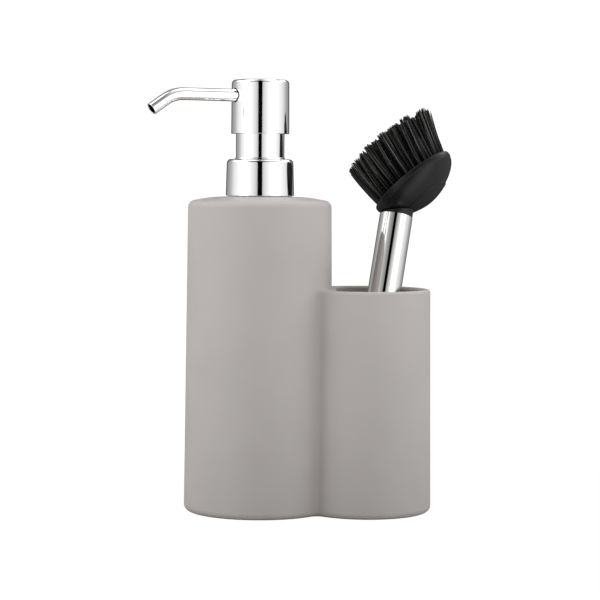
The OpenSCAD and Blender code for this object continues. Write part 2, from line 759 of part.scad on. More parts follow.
// A square grid bent into a disc of radius 1 with cells of equal area
function disc_point(x, y) =
    x == 0 && y == 0 ? [0, 0] :
    abs(x) >= abs(y) ? x * [cos(45 * y / x), sin(45 * y / x)]
                     : y * [sin(45 * x / y), cos(45 * x / y)];
function grid_point(i, j) = plate_r * disc_point(2 * i / grid_n - 1, 2 * j / grid_n - 1);
function strand_base(i, j) =
    let (own = (grid_point(i, j) + grid_point(i + 1, j + 1) + grid_point(i + 1, j) + grid_point(i, j + 1)) / 4,
         ti = 2 * floor(i / 2), tj = 2 * floor(j / 2),
         tuft = (grid_point(ti, tj) + grid_point(ti + 2, tj) + grid_point(ti, tj + 2)
                 + grid_point(ti + 2, tj + 2)) / 4)
    own + tuft_share * (tuft - own);
// A whole number from 0 to 6 that looks random, for the uneven tips
function uneven(i, j) = (i * i * 3 + j * 5 + i * j * 2 + j * j) % 7;
function strand_centre(i, j, t) =
    let (b = strand_base(i, j), q = b / plate_r, s = (q[0] + 1) / 2,
         l = bristle_l - bristle_crown * (q * q) + ragged * (uneven(i, j) / 3 - 1),
         bow = bulge_u * pow(1 - s, 2) * 4 * t * (1 - t))
    [b[0] + (flare_u * pow(s, 1.2) - flare_back) * pow(t, 1.05) - bow, b[1] + flare_v * q[1] * t, l * t];
function strand_ring(i, j, t) =
    let (c = strand_centre(i, j, t), r = strand_r * (1 - (1 - tip_share) * t),
         a = atan2(grid_point(i, j)[1] + grid_point(i + 1, j)[1] - 2 * strand_base(i, j)[1],
                   grid_point(i, j)[0] + grid_point(i + 1, j)[0] - 2 * strand_base(i, j)[0]))
    [for (k = [0 : 2]) [c[0] + r * cos(a + 120 * k), c[1] + r * sin(a + 120 * k), c[2]]];

// The strands grow out of the cells of the slice, so the whole is one skin
module bristles() {
    n = grid_n;
    m = n + 1;
    lattice = [for (i = [0 : n], j = [0 : n]) let (p = grid_point(i, j)) [p[0], p[1], 0]];
    rim = concat([for (i = [0 : n - 1]) [i, 0]], [for (j = [0 : n - 1]) [n, j]],
                 [for (i = [n : -1 : 1]) [i, n]], [for (j = [n : -1 : 1]) [0, j]]);
    low = [for (k = rim) let (p = grid_point(k[0], k[1])) [p[0], p[1], seat_gap - slice_t]];
    strands = [for (i = [0 : n - 1], j = [0 : n - 1], k = [0 : strand_rings - 1])
        each strand_ring(i, j, k / (strand_rings - 1))];
    s0 = m * m;
    l0 = s0 + len(strands);
    c0 = l0 + len(low);
    cell_faces = [for (i = [0 : n - 1], j = [0 : n - 1])
        let (a = i * m + j, b = a + m, c = b + 1, d = a + 1,
             t = s0 + (i * n + j) * 3 * strand_rings)
        each concat(
            [[a, b, t], [b, t + 1, t], [b, c, t + 1], [c, t + 2, t + 1], [c, d, t + 2],
             [d, t, t + 2], [d, a, t]],
            [for (k = [0 : strand_rings - 2], e = [0 : 2])
                let (u = t + 3 * k + e, v = t + 3 * k + (e + 1) % 3)
                each [[u, v, v + 3], [u, v + 3, u + 3]]],
            [let (u = t + 3 * (strand_rings - 1)) [u, u + 1, u + 2]])];
    side_faces = [for (k = [0 : len(rim) - 1])
        let (q = (k + 1) % len(rim), a = rim[k][0] * m + rim[k][1], b = rim[q][0] * m + rim[q][1])
        each [[a, l0 + k, l0 + q], [a, l0 + q, b], [c0, l0 + q, l0 + k]]];
    color([0.08, 0.08, 0.08]) in_cup() on_handle()
        polyhedron(points = concat(lattice, strands, low, [[0, 0, seat_gap - slice_t]]),
                   faces = [for (f = concat(cell_faces, side_faces)) [f[2], f[1], f[0]]]);
}

ceramic_body();
tank_pad();
cup_pad();
neck_insert();
neck_gasket();
pump_cylinder();
cylinder_cap();
dip_tube();
inlet_ball();
return_spring();
piston_seal();
piston_stem();
outlet_ball();
closure_nut();
collar_shell();
neck_sleeve();
head_core();
head_shell();
spout_tube();
handle_tube();
handle_end_cap();
handle_plug();
brush_collar();
brush_bowl();
bristle_plate();
bristles();
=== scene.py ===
import bpy
import bmesh
import math
import random
from mathutils import Matrix, Vector


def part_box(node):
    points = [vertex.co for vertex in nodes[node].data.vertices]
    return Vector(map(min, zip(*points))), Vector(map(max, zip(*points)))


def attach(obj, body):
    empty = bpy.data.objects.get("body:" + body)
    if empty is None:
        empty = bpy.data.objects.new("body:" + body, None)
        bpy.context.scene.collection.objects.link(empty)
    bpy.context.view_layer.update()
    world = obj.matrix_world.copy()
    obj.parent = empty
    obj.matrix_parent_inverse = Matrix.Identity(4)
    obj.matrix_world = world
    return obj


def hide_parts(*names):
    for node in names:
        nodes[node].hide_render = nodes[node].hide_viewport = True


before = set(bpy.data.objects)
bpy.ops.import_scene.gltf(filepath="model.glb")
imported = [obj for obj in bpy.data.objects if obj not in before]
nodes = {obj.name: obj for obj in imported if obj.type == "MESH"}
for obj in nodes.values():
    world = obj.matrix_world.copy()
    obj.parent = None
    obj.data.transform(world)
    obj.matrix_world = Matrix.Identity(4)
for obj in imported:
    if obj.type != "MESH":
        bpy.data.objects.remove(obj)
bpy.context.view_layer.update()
print("frame loaded:", len(nodes), "nodes")

mm = 0.001
weldWithin = 1e-6  # vertices nearer than this, in metres, become one
sharpAngle = 35  # edges that turn more than this, in degrees, stay sharp


def turnBy(degrees, axis):
    return Matrix.Rotation(math.radians(degrees), 4, axis)


# the photograph's camera, fitted on the outlines of the body and the pump
cameraPlan = {"place": (0.025, -1.00194, 0.15661), "focalPixels": 2138.3, "pixels": 600,
              "pitch": 3.28, "yaw": 0.337, "roll": 0.399, "sensor": 36, "near": 0.01}


def addCamera(plan):
    data = bpy.data.cameras.new("camera")
    data.sensor_width = plan["sensor"]
    data.lens = plan["focalPixels"] * plan["sensor"] / plan["pixels"]
    data.clip_start = plan["near"]
    camera = bpy.data.objects.new("camera", data)
    bpy.context.scene.collection.objects.link(camera)
    turn = turnBy(plan["yaw"], "Z") @ turnBy(90 - plan["pitch"], "X") @ turnBy(plan["roll"], "Z")
    camera.matrix_world = Matrix.Translation(plan["place"]) @ turn
    bpy.context.scene.camera = camera


addCamera(cameraPlan)
print("camera set")


# an output of a node tree; sums on it make Math nodes
class Wire:
    def __init__(self, tree, out=None):
        self.tree = tree
        self.out = out

    def put(self, node, key, value):
        if isinstance(value, Wire):
            self.tree.links.new(value.out, node.inputs[key])
        else:
            node.inputs[key].default_value = value

    # any other node: its inputs by name or number, its settings by name
    def node(self, kind, inputs, result=0, **settings):
        made = self.tree.nodes.new(kind)
        for name, value in settings.items():
            setattr(made, name, value)
        for key, value in inputs.items():
            self.put(made, key, value)
        return Wire(self.tree, made.outputs[result])

    def sum(self, operation, a, b):
        return self.node("ShaderNodeMath", {0: a, 1: b}, operation=operation)

    def __add__(self, other):
        return self.sum("ADD", self, other)

    def __radd__(self, other):
        return self.sum("ADD", other, self)

    def __mul__(self, other):
        return self.sum("MULTIPLY", self, other)

    def __rmul__(self, other):
        return self.sum("MULTIPLY", other, self)

    def __pow__(self, other):
        return self.sum("POWER", self, other)

    # goes from a to b while the wire goes from low to high
    def stretch(self, low, high, a=0.0, b=1.0):
        return self.node("ShaderNodeMapRange", {"Value": self, "From Min": low, "From Max": high,
                                                "To Min": a, "To Max": b})

    # a Mix node's colours are its inputs 6 and 7, and its output 2
    def mix(self, factor, a, b, **settings):
        return self.node("ShaderNodeMix", {0: factor, 6: a, 7: b}, result=2, data_type="RGBA",
                         **settings)

    # colour a where the wire is 0 and colour b where it is 1
    def blend(self, a, b):
        first, second = [c if isinstance(c, Wire) else (*c, 1) for c in (a, b)]
        return self.mix(self, first, second)

    def tint(self, other):
        return self.mix(1.0, self, other, blend_type="MULTIPLY")

    def noise(self, size, detail, roughness=0.5):
        return self.node("ShaderNodeTexNoise", {"Vector": self, "Scale": 1 / size, "Detail": detail,
                                                "Roughness": roughness})

    def bump(self, strength, depth):
        return self.node("ShaderNodeBump", {"Height": self, "Strength": strength,
                                            "Distance": depth})


class Finish:
    def __init__(self, name):
        self.material = bpy.data.materials.new(name)
        self.material.use_nodes = True
        tree = self.material.node_tree
        self.shader = next(n for n in tree.nodes if n.type == "BSDF_PRINCIPLED")
        self.place = Wire(tree).node("ShaderNodeTexCoord", {}, "Object")

    # gives the shader's sockets their values or wires
    def set(self, sockets):
        for key, value in sockets.items():
            self.place.put(self.shader, key, value)
        return self.material


def rgb(r, g, b):
    return tuple(((c / 255 + 0.055) / 1.055) ** 2.4 for c in (r, g, b))


wideSpan = (0.3, 0.7)  # nearly all values of a noise lie between these
midSpan = (0.35, 0.65)  # a narrower span, for more contrast


# matte glaze: warm grey and a little cloudy, with a fine grain on slow waves
def makeGlaze():
    look = {"tone": rgb(187, 182, 179), "cloud": rgb(181, 176, 173), "cloudSize": 0.035,
            "cloudShare": 0.7, "grainShare": 0.3, "grainSize": 0.0007, "grainDepth": 0.00005,
            "waveSize": 0.012, "waveDepth": 0.00012, "bump": 0.5, "roughLow": 0.5,
            "roughHigh": 0.6}
    finish = Finish("matteGlaze")
    cloud = finish.place.noise(look["cloudSize"], detail=4).stretch(*midSpan)
    grain = finish.place.noise(look["grainSize"], detail=2)
    wave = finish.place.noise(look["waveSize"], detail=2)
    cover = cloud * look["cloudShare"] + grain * look["grainShare"]
    height = grain * look["grainDepth"] + wave * look["waveDepth"]  # in metres
    return finish.set({
        "Base Color": cover.blend(look["tone"], look["cloud"]),
        "Roughness": grain.stretch(*wideSpan, look["roughLow"], look["roughHigh"]),
        "Normal": height.bump(look["bump"], depth=1.0)})


# polished chrome plate with faint wipe marks and a few duller specks
def makeChrome(name, tone, dull):
    look = {"tone": tone, "dull": dull, "dullFrom": 0.68, "dullTo": 0.8, "dullMost": 0.5,
            "speckSize": 0.0012, "wipeSize": 0.006, "wipeRoughness": 0.6, "wipeDepth": 0.00001,
            "bump": 0.01, "roughLow": 0.035, "roughHigh": 0.075}
    finish = Finish(name)
    wipe = finish.place.noise(look["wipeSize"], detail=5, roughness=look["wipeRoughness"])
    speck = finish.place.noise(look["speckSize"], detail=2)
    dullness = speck.stretch(look["dullFrom"], look["dullTo"], 0, look["dullMost"])
    return finish.set({
        "Base Color": dullness.blend(look["tone"], look["dull"]), "Metallic": 1.0,
        "Roughness": wipe.stretch(*wideSpan, look["roughLow"], look["roughHigh"]),
        "Normal": wipe.bump(look["bump"], look["wipeDepth"])})


# moulded plastic or rubber: a tone, a second tone in slow clouds, and a fine moulded grain
def makeMoulded(name, own):
    look = {"cloudSize": 0.01, "cloudShare": 0.5, "grainShare": 0.5, "roughSpread": 0.06,
            "bump": 0.4, "specular": 0.5, "through": 0.0}
    look.update(own)
    finish = Finish(name)
    cloud = finish.place.noise(look["cloudSize"], detail=3)
    grain = finish.place.noise(look["grainSize"], detail=2)
    cover = (cloud * look["cloudShare"] + grain * look["grainShare"]).stretch(*midSpan)
    smoothest, roughest = look["rough"] - look["roughSpread"], look["rough"] + look["roughSpread"]
    return finish.set({
        "Base Color": cover.blend(look["tone"], look["second"]),
        "Roughness": grain.stretch(*wideSpan, smoothest, roughest),
        "Normal": grain.bump(look["bump"], look["grainDepth"]),
        "Specular IOR Level": look["specular"], "Transmission Weight": look["through"]})


# bristle filament: near black, with a few paler ones that are a painted highlight, and a painted
# shade that makes it darkest at the root
def makeFilament():
    look = {"dark": rgb(9, 9, 10), "highlightTone": rgb(108, 107, 105), "root": rgb(5, 5, 5),
            "highlightRarity": 3.5, "rootShadeTo": 0.35, "rough": 0.4, "roughDrop": 0.12, "specular": 0.3,
            "grainSize": 0.0006, "grainDepth": 0.0001, "bump": 0.1}
    finish = Finish("nylonFilament")
    own = finish.place.node("ShaderNodeAttribute", {}, "Fac", attribute_name="strandHighlight")
    along = finish.place.node("ShaderNodeAttribute", {}, "Fac", attribute_name="strandAlong")
    # the paler strands are a painted highlight, standing in for light caught along the filaments
    tone = (own ** look["highlightRarity"]).blend(look["dark"], look["highlightTone"])
    grain = finish.place.noise(look["grainSize"], detail=1)
    return finish.set({
        # the root colour is a painted shade: each filament darkens towards its root, where the
        # strands crowd inside the bowl's lip
        "Base Color": along.stretch(0.0, look["rootShadeTo"]).blend(look["root"], tone),
        "Roughness": own.stretch(0, 1, look["rough"], look["rough"] - look["roughDrop"]),
        "Normal": grain.bump(look["bump"], look["grainDepth"]),
        "Specular IOR Level": look["specular"]})


# drawn steel for the spring and the check balls
def makeSteel():
    look = {"tone": (0.66, 0.67, 0.69), "second": (0.52, 0.53, 0.55), "lineSize": 0.0008,
            "lineDepth": 0.00003, "bump": 0.15, "roughLow": 0.2, "roughHigh": 0.38}
    finish = Finish("drawnSteel")
    line = finish.place.noise(look["lineSize"], detail=3)
    return finish.set({
        "Base Color": line.blend(look["tone"], look["second"]), "Metallic": 1.0,
        "Roughness": line.stretch(*wideSpan, look["roughLow"], look["roughHigh"]),
        "Normal": line.bump(look["bump"], look["lineDepth"])})


glaze = makeGlaze()
chrome = makeChrome("polishedChrome", (0.93, 0.93, 0.935), (0.86, 0.86, 0.87))
# the handle's chrome is a darker copy of the same chrome: its lower tone is a painted shade that
# darkens the handle's reflections
shadedHandleChrome = makeChrome("shadedHandleChrome", (0.78, 0.775, 0.765), (0.7, 0.7, 0.7))
blackPlastic = makeMoulded("blackMouldedPlastic", {
    "tone": rgb(18, 18, 19), "second": rgb(24, 24, 25), "grainSize": 0.00035,
    "grainDepth": 0.00004, "rough": 0.34, "specular": 0.22})
neckPlastic = makeMoulded("blackNeckPlastic", {
    "tone": rgb(28, 28, 29), "second": rgb(36, 36, 37), "grainSize": 0.0004,
    "grainDepth": 0.00003, "rough": 0.38, "specular": 0.22})
innerBlack = makeMoulded("innerBlackPlastic", {
    "tone": rgb(30, 30, 31), "second": rgb(38, 38, 39), "grainSize": 0.0005,
    "grainDepth": 0.00004, "rough": 0.5})
whitePlastic = makeMoulded("whiteMouldedPlastic", {
    "tone": rgb(236, 236, 233), "second": rgb(228, 228, 225), "grainSize": 0.0006,
    "grainDepth": 0.00003, "rough": 0.4})
clearPlastic = makeMoulded("clearTubePlastic", {
    "tone": rgb(238, 242, 244), "second": rgb(230, 235, 238), "grainSize": 0.0015,
    "grainDepth": 0.00002, "rough": 0.22, "through": 0.7})
padRubber = makeMoulded("padRubber", {
    "tone": rgb(96, 96, 97), "second": rgb(82, 82, 84), "grainSize": 0.0008,
    "grainDepth": 0.0001, "rough": 0.85, "bump": 0.7})
gasketFoam = makeMoulded("gasketFoam", {
    "tone": rgb(214, 216, 218), "second": rgb(196, 198, 201), "grainSize": 0.0006,
    "grainDepth": 0.00012, "rough": 0.8, "bump": 0.8})
filament = makeFilament()
steel = makeSteel()
print("materials made")


def dress(piece, material):
    piece.data.materials.clear()
    piece.data.materials.append(material)


for nodeName, material in {
        "tank_pad": padRubber, "cup_pad": padRubber, "neck_insert": whitePlastic,
        "neck_gasket": gasketFoam, "pump_cylinder": whitePlastic, "cylinder_cap": whitePlastic,
        "dip_tube": clearPlastic, "inlet_ball": steel, "return_spring": steel,
        "piston_seal": whitePlastic, "piston_stem": whitePlastic, "outlet_ball": steel,
        "closure_nut": innerBlack, "head_core": innerBlack, "handle_end_cap": blackPlastic,
        "handle_plug": innerBlack, "brush_collar": neckPlastic, "bristle_plate": blackPlastic,
        "collar_shell": chrome, "neck_sleeve": chrome, "head_shell": chrome, "spout_tube": chrome,
        "handle_tube": shadedHandleChrome, "brush_bowl": blackPlastic, "ceramic_body": glaze}.items():
    dress(nodes[nodeName], material)


def smooth(mesh, angle):
    for face in mesh.polygons:
        face.use_smooth = True
    mesh.set_sharp_from_angle(angle=math.radians(angle))


# a piece that rides on a body and stands in for the CAD nodes named in replaced
def addPiece(name, mesh, material, body, replaced, angle=sharpAngle):
    piece = bpy.data.objects.new(name, mesh)
    bpy.context.scene.collection.objects.link(piece)
    smooth(mesh, angle)
    dress(piece, material)
    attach(piece, body)
    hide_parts(*replaced)
    return piece


def weigh(piece):
    weighted = piece.modifiers.new("weightedNormals", "WEIGHTED_NORMAL")
    weighted.keep_sharp = True
    weighted.weight = 50


def meshFrom(bm, name):
    mesh = bpy.data.meshes.new(name)
    bm.to_mesh(mesh)
    bm.free()
    return mesh


# the shape that a piece has with its modifiers
def meshOf(piece):
    ready = piece.evaluated_get(bpy.context.evaluated_depsgraph_get())
    return bpy.data.meshes.new_from_object(ready)


# lowest and highest corner of a CAD node, in millimetres
def boxOf(node):
    low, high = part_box(node)
    return low / mm, high / mm


# a closed profile of (radius, height, corner round), in millimetres, turned round the Z axis
def turned(profile, steps):
    bm = bmesh.new()
    corners = [bm.verts.new((p[0] * mm, 0, p[1] * mm)) for p in profile]
    for a, b in zip(corners, corners[1:] + corners[:1]):
        bm.edges.new((a, b))
    for corner, point in zip(corners, profile):
        if len(point) > 2:
            bmesh.ops.bevel(bm, geom=[corner], offset=point[2] * mm, offset_type="OFFSET",
                            segments=8, profile=0.5, affect="VERTICES", material=-1)
    bmesh.ops.spin(bm, geom=bm.verts[:] + bm.edges[:], cent=(0, 0, 0), axis=(0, 0, 1),
                   dvec=(0, 0, 0), angle=2 * math.pi, steps=steps, use_merge=True,
                   use_duplicate=False)
    bmesh.ops.remove_doubles(bm, verts=bm.verts[:], dist=weldWithin)
    bmesh.ops.recalc_face_normals(bm, faces=bm.faces[:])
    return bm


# cuts the tool's shape out of a piece and applies it
def cutHole(piece, toolShape):
    tool = bpy.data.objects.new("tool", meshFrom(toolShape, "tool"))
    bpy.context.scene.collection.objects.link(tool)
    cut = piece.modifiers.new("cut", "BOOLEAN")
    cut.operation = "DIFFERENCE"
    cut.solver = "EXACT"
    cut.object = tool
    bpy.context.view_layer.update()
    shape = meshOf(piece)
    piece.modifiers.clear()
    piece.data = shape
    bpy.data.objects.remove(tool)
    smooth(shape, sharpAngle)


# the glazed body: the CAD body's own shape, its vertices merged so that the glaze runs smoothly
def buildBody():
    look = {"weldWithin": 2e-6, "sharpAngle": 32}
    bm = bmesh.new()
    bm.from_mesh(nodes["ceramic_body"].data)
    bmesh.ops.remove_doubles(bm, verts=bm.verts[:], dist=look["weldWithin"])
    piece = addPiece("glazedBody", meshFrom(bm, "glazedBody"), glaze, "stand", ["ceramic_body"],
                     look["sharpAngle"])
    weigh(piece)


# collar over the closure: a drawn cup with a rounded shoulder and a hole for the sleeve
def buildCollar():
    low, high = boxOf("collar_shell")
    look = {"lowRadius": 16.0, "topRadius": 15.55, "wall": 0.55, "shoulder": 1.9, "hole": 11.4,
            "lipRound": 0.2, "innerRound": 0.12, "steps": 160}
    t = look["wall"]
    bm = turned([
        (look["lowRadius"] - t, low.z, look["innerRound"]),
        (look["lowRadius"], low.z, look["lipRound"]),
        (look["topRadius"], high.z, look["shoulder"]),
        (look["hole"], high.z, look["innerRound"]),
        (look["hole"], high.z - t),
        (look["topRadius"] - t, high.z - t, look["shoulder"] - t)], look["steps"])
    piece = addPiece("collarShell", meshFrom(bm, "collarShell"), chrome, "closure",
                     ["collar_shell"])
    weigh(piece)


# sleeve that the head slides over, with a foot inside the collar and a small bead on top of it
def buildSleeve():
    low, high = boxOf("neck_sleeve")
    look = {"radius": 11.35, "wall": 0.55, "footWidth": 1.6, "footThick": 1.1, "bead": 0.35,
            "beadRound": 0.3, "beadGap": 0.05, "creaseRound": 0.2, "topRound": 0.25,
            "innerRound": 0.15, "steps": 144}
    r, t, bead = look["radius"], look["wall"], look["bead"]
    footRadius, footTop = r + look["footWidth"], low.z + look["footThick"]
    beadLow = boxOf("collar_shell")[1].z + look["beadGap"]
    beadTop = beadLow + 2 * bead
    bm = turned([
        (r - t, low.z), (footRadius, low.z), (footRadius, footTop), (r, footTop), (r, beadLow),
        (r + bead, beadLow, look["beadRound"]), (r + bead, beadTop, look["beadRound"]),
        (r, beadTop, look["creaseRound"]), (r, high.z, look["topRound"]),
        (r - t, high.z, look["innerRound"])], look["steps"])
    piece = addPiece("neckSleeve", meshFrom(bm, "neckSleeve"), chrome, "closure", ["neck_sleeve"])
    weigh(piece)


# the spout's axis: how far it lies below the head's top, and its turn about the pump in degrees
spoutPlace = {"drop": 7.4, "turn": 210}


# takes what lies along the X axis to the spout's height and direction
def atSpout():
    height = boxOf("head_shell")[1].z - spoutPlace["drop"]
    return Matrix.Translation((0, 0, height * mm)) @ turnBy(spoutPlace["turn"], "Z")


# pump head: a drawn cap with a rounded lower lip and a hole for the spout
def buildHead():
    low, high = boxOf("head_shell")
    look = {"lowRadius": 13.6, "topRadius": 13.45, "wall": 0.55, "shoulder": 1.8,
            "lipRound": 0.25, "innerRound": 0.15, "holeRadius": 3.4, "drillLength": 14,
            "drillAway": 14, "steps": 160}
    t = look["wall"]
    bm = turned([
        (look["lowRadius"] - t, low.z, look["innerRound"]),
        (look["lowRadius"], low.z, look["lipRound"]),
        (look["topRadius"], high.z, look["shoulder"]), (0, high.z), (0, high.z - t),
        (look["topRadius"] - t, high.z - t, look["shoulder"] - t)], look["steps"])
    piece = addPiece("pumpHeadShell", meshFrom(bm, "pumpHeadShell"), chrome, "head",
                     ["head_shell"])
    drill = bmesh.new()
    bmesh.ops.create_cone(drill, cap_ends=True, segments=48, radius1=look["holeRadius"] * mm,
                          radius2=look["holeRadius"] * mm, depth=look["drillLength"] * mm)
    drill.transform(atSpout() @ Matrix.Translation((look["drillAway"] * mm, 0, 0))
                    @ turnBy(90, "Y"))
    cutHole(piece, drill)
    weigh(piece)


# extrudes the open edges of a tube along a way and gives the new open edges
def pushRing(bm, edges, way):
    grown = bmesh.ops.extrude_edge_only(bm, edges=edges)["geom"]
    bmesh.ops.translate(bm, vec=way, verts=[g for g in grown if isinstance(g, bmesh.types.BMVert)])
    return [g for g in grown if isinstance(g, bmesh.types.BMEdge)
            and all(v in grown for v in g.verts)]


# bent spout tube: a ring pushed along the run, spun round the bend and pushed to the tip
def buildSpout():
    look = {"radius": 2.9, "wall": 0.6, "start": 5.05, "run": 40.2, "bendRadius": 16.8,
            "bend": 33.5, "end": 8.2, "sides": 48, "bendSteps": 28, "edgeRound": 0.16,
            "edgeAngle": 50}
    run, bendRadius, end = look["run"] * mm, look["bendRadius"] * mm, look["end"] * mm
    start, bend = look["start"] * mm, math.radians(look["bend"])
    bm = bmesh.new()
    bmesh.ops.create_circle(bm, cap_ends=False, segments=look["sides"],
                            radius=look["radius"] * mm)
    bm.transform(Matrix.Translation((start, 0, 0)) @ turnBy(90, "Y"))
    edges = pushRing(bm, bm.edges[:], (run - start, 0, 0))
    spun = bmesh.ops.spin(bm, geom=edges + list({v for e in edges for v in e.verts}),
                          cent=(run, 0, -bendRadius), axis=(0, 1, 0), dvec=(0, 0, 0), angle=bend,
                          steps=look["bendSteps"], use_duplicate=False)["geom_last"]
    edges = [g for g in spun if isinstance(g, bmesh.types.BMEdge)]
    pushRing(bm, edges, (end * math.cos(bend), 0, -end * math.sin(bend)))
    bmesh.ops.remove_doubles(bm, verts=bm.verts[:], dist=weldWithin)
    bmesh.ops.recalc_face_normals(bm, faces=bm.faces[:])
    bm.transform(atSpout())
    piece = addPiece("spoutTube", meshFrom(bm, "spoutTube"), chrome, "head", ["spout_tube"])
    wall = piece.modifiers.new("wall", "SOLIDIFY")
    wall.thickness = look["wall"] * mm
    wall.offset = -1
    edge = piece.modifiers.new("edge", "BEVEL")
    edge.width = look["edgeRound"] * mm
    edge.segments = 3
    edge.limit_method = "ANGLE"
    edge.angle_limit = math.radians(look["edgeAngle"])
    weigh(piece)


# where the brush leans in the cup: foot of the handle's axis in millimetres, lean, its direction,
# the head's turn and its tilt in degrees, and where the bowl's centre is from the handle's end
brushPlace = {"foot": (44.3666, -10.0798, 10.1478), "lean": 17.9095, "leanDirection": 60.345,
              "headTurn": 118.2, "tilt": 46.5, "handleLength": 134.9, "bowlOffset": 6.8,
              "bowlRise": 13.8}

# the bowl, with a curve for its underside that is an ellipse at a power of 2, else more pointed
bowlShape = {"radius": 22.0, "depth": 11.6, "lipHeight": 2.2, "power": 1.65, "curveSteps": 30}


# takes what stands on the Z axis to the handle's place
def inCup():
    p = brushPlace
    return (Matrix.Translation(Vector(p["foot"]) * mm) @ turnBy(p["leanDirection"], "Z")
            @ turnBy(p["lean"], "Y") @ turnBy(p["headTurn"], "Z"))


# takes what lies in the plane of the bowl's lip to its place on the handle
def onHandle():
    p = brushPlace
    tilt = math.radians(p["tilt"])
    spot = Vector((-p["bowlOffset"] * math.cos(tilt), 0,
                   p["handleLength"] + p["bowlRise"] + p["bowlOffset"] * math.sin(tilt)))
    return inCup() @ Matrix.Translation(spot * mm) @ turnBy(p["tilt"], "Y") @ turnBy(180, "Z")


# the bowl's underside from its middle to the lip, as points of (radius, height)
def bowlCurve(radius, depth):
    steps, lip = bowlShape["curveSteps"], bowlShape["lipHeight"]
    e = 2 / bowlShape["power"]
    angles = [math.pi / 2 * i / steps for i in range(steps + 1)]
    return [(radius * math.sin(a) ** e, -lip - depth * max(0, math.cos(a)) ** e) for a in angles]


# chromed handle tube with rounded ends
def buildHandle():
    look = {"radius": 7.95, "wall": 0.8, "topRound": 0.4, "footRound": 0.2, "innerRound": 0.1,
            "steps": 144}
    r, t, long = look["radius"], look["wall"], brushPlace["handleLength"]
    bm = turned([(r - t, 0, look["innerRound"]), (r, 0, look["footRound"]),
                 (r, long, look["topRound"]), (r - t, long, look["innerRound"])], look["steps"])
    bm.transform(inCup())
    piece = addPiece("handleTube", meshFrom(bm, "handleTube"), shadedHandleChrome, "brush",
                     ["handle_tube"])
    weigh(piece)


# bowl of the brush head: a deep shell with a low round pad under it and a narrow band at its lip
def buildBowl():
    look = {"wall": 1.5, "padRadius": 12.0, "padRise": 0.5, "padFlank": 0.15, "padRound": 0.1,
            "padFoot": 0.05, "padBefore": 0.1, "padAfter": 0.5, "band": 0.3, "bandSlope": 0.2,
            "bandFoot": 0.08, "bandRound": 0.12, "lipRound": 0.55, "innerRound": 0.35,
            "steps": 160}
    r, d, lip = bowlShape["radius"], bowlShape["depth"], bowlShape["lipHeight"]
    t, padRadius, rise = look["wall"], look["padRadius"], look["padRise"]
    side = bowlCurve(r - look["band"], d)
    inner = bowlCurve(r - t, d - t)
    # the curve's points under the pad go down with it, and those at its edge are left out
    pad = [(x, z - rise) for x, z in side if x < padRadius - look["padBefore"]]
    wall = [(x, z) for x, z in side[:-1] if x > padRadius + look["padAfter"]]
    share = (padRadius - pad[-1][0]) / (wall[0][0] - pad[-1][0])
    edge = pad[-1][1] + rise + share * (wall[0][1] - pad[-1][1] - rise)
    flank = [(padRadius, edge - rise, look["padRound"]),
             (padRadius + look["padFlank"], edge, look["padFoot"])]
    lipEdge = [(r - look["band"], -lip, look["bandFoot"]),
               (r, -lip + look["bandSlope"], look["bandRound"]),
               (r, 0.0, look["lipRound"]), (r - t, 0.0, look["innerRound"])]
    bm = turned(pad + flank + wall + lipEdge + inner[::-1], look["steps"])
    bm.transform(onHandle())
    piece = addPiece("brushBowl", meshFrom(bm, "brushBowl"), blackPlastic, "brush",
                     ["brush_bowl"])
    weigh(piece)


# neck ring between tube and bowl; the bowl's shape, a little larger, is cut out as a shadow gap
def buildNeckRing():
    look = {"radius": 7.8, "long": 4.6, "bore": 2.7, "edge": 0.15, "gap": 0.4, "seat": 0.05,
            "steps": 96}
    low = brushPlace["handleLength"] + look["seat"]
    high = low + look["long"]
    bm = turned([(look["bore"], low), (look["radius"], low, look["edge"]),
                 (look["radius"], high), (look["bore"], high)], look["steps"])
    bm.transform(inCup())
    piece = addPiece("neckRing", meshFrom(bm, "neckRing"), neckPlastic, "brush",
                     ["brush_collar"])
    underside = bowlCurve(bowlShape["radius"] + look["gap"], bowlShape["depth"] + look["gap"])
    tool = turned(underside + [(0, -bowlShape["lipHeight"])], look["steps"])
    tool.transform(onHandle())
    cutHole(piece, tool)
    weigh(piece)


# a point of the square from -1 to 1, moved so that the whole square fills the round disc
def discPoint(x, y):
    if x == 0 and y == 0:
        return 0.0, 0.0
    if abs(x) >= abs(y):
        a = math.pi / 4 * y / x
        return x * math.cos(a), x * math.sin(a)
    a = math.pi / 4 * x / y
    return y * math.sin(a), y * math.cos(a)


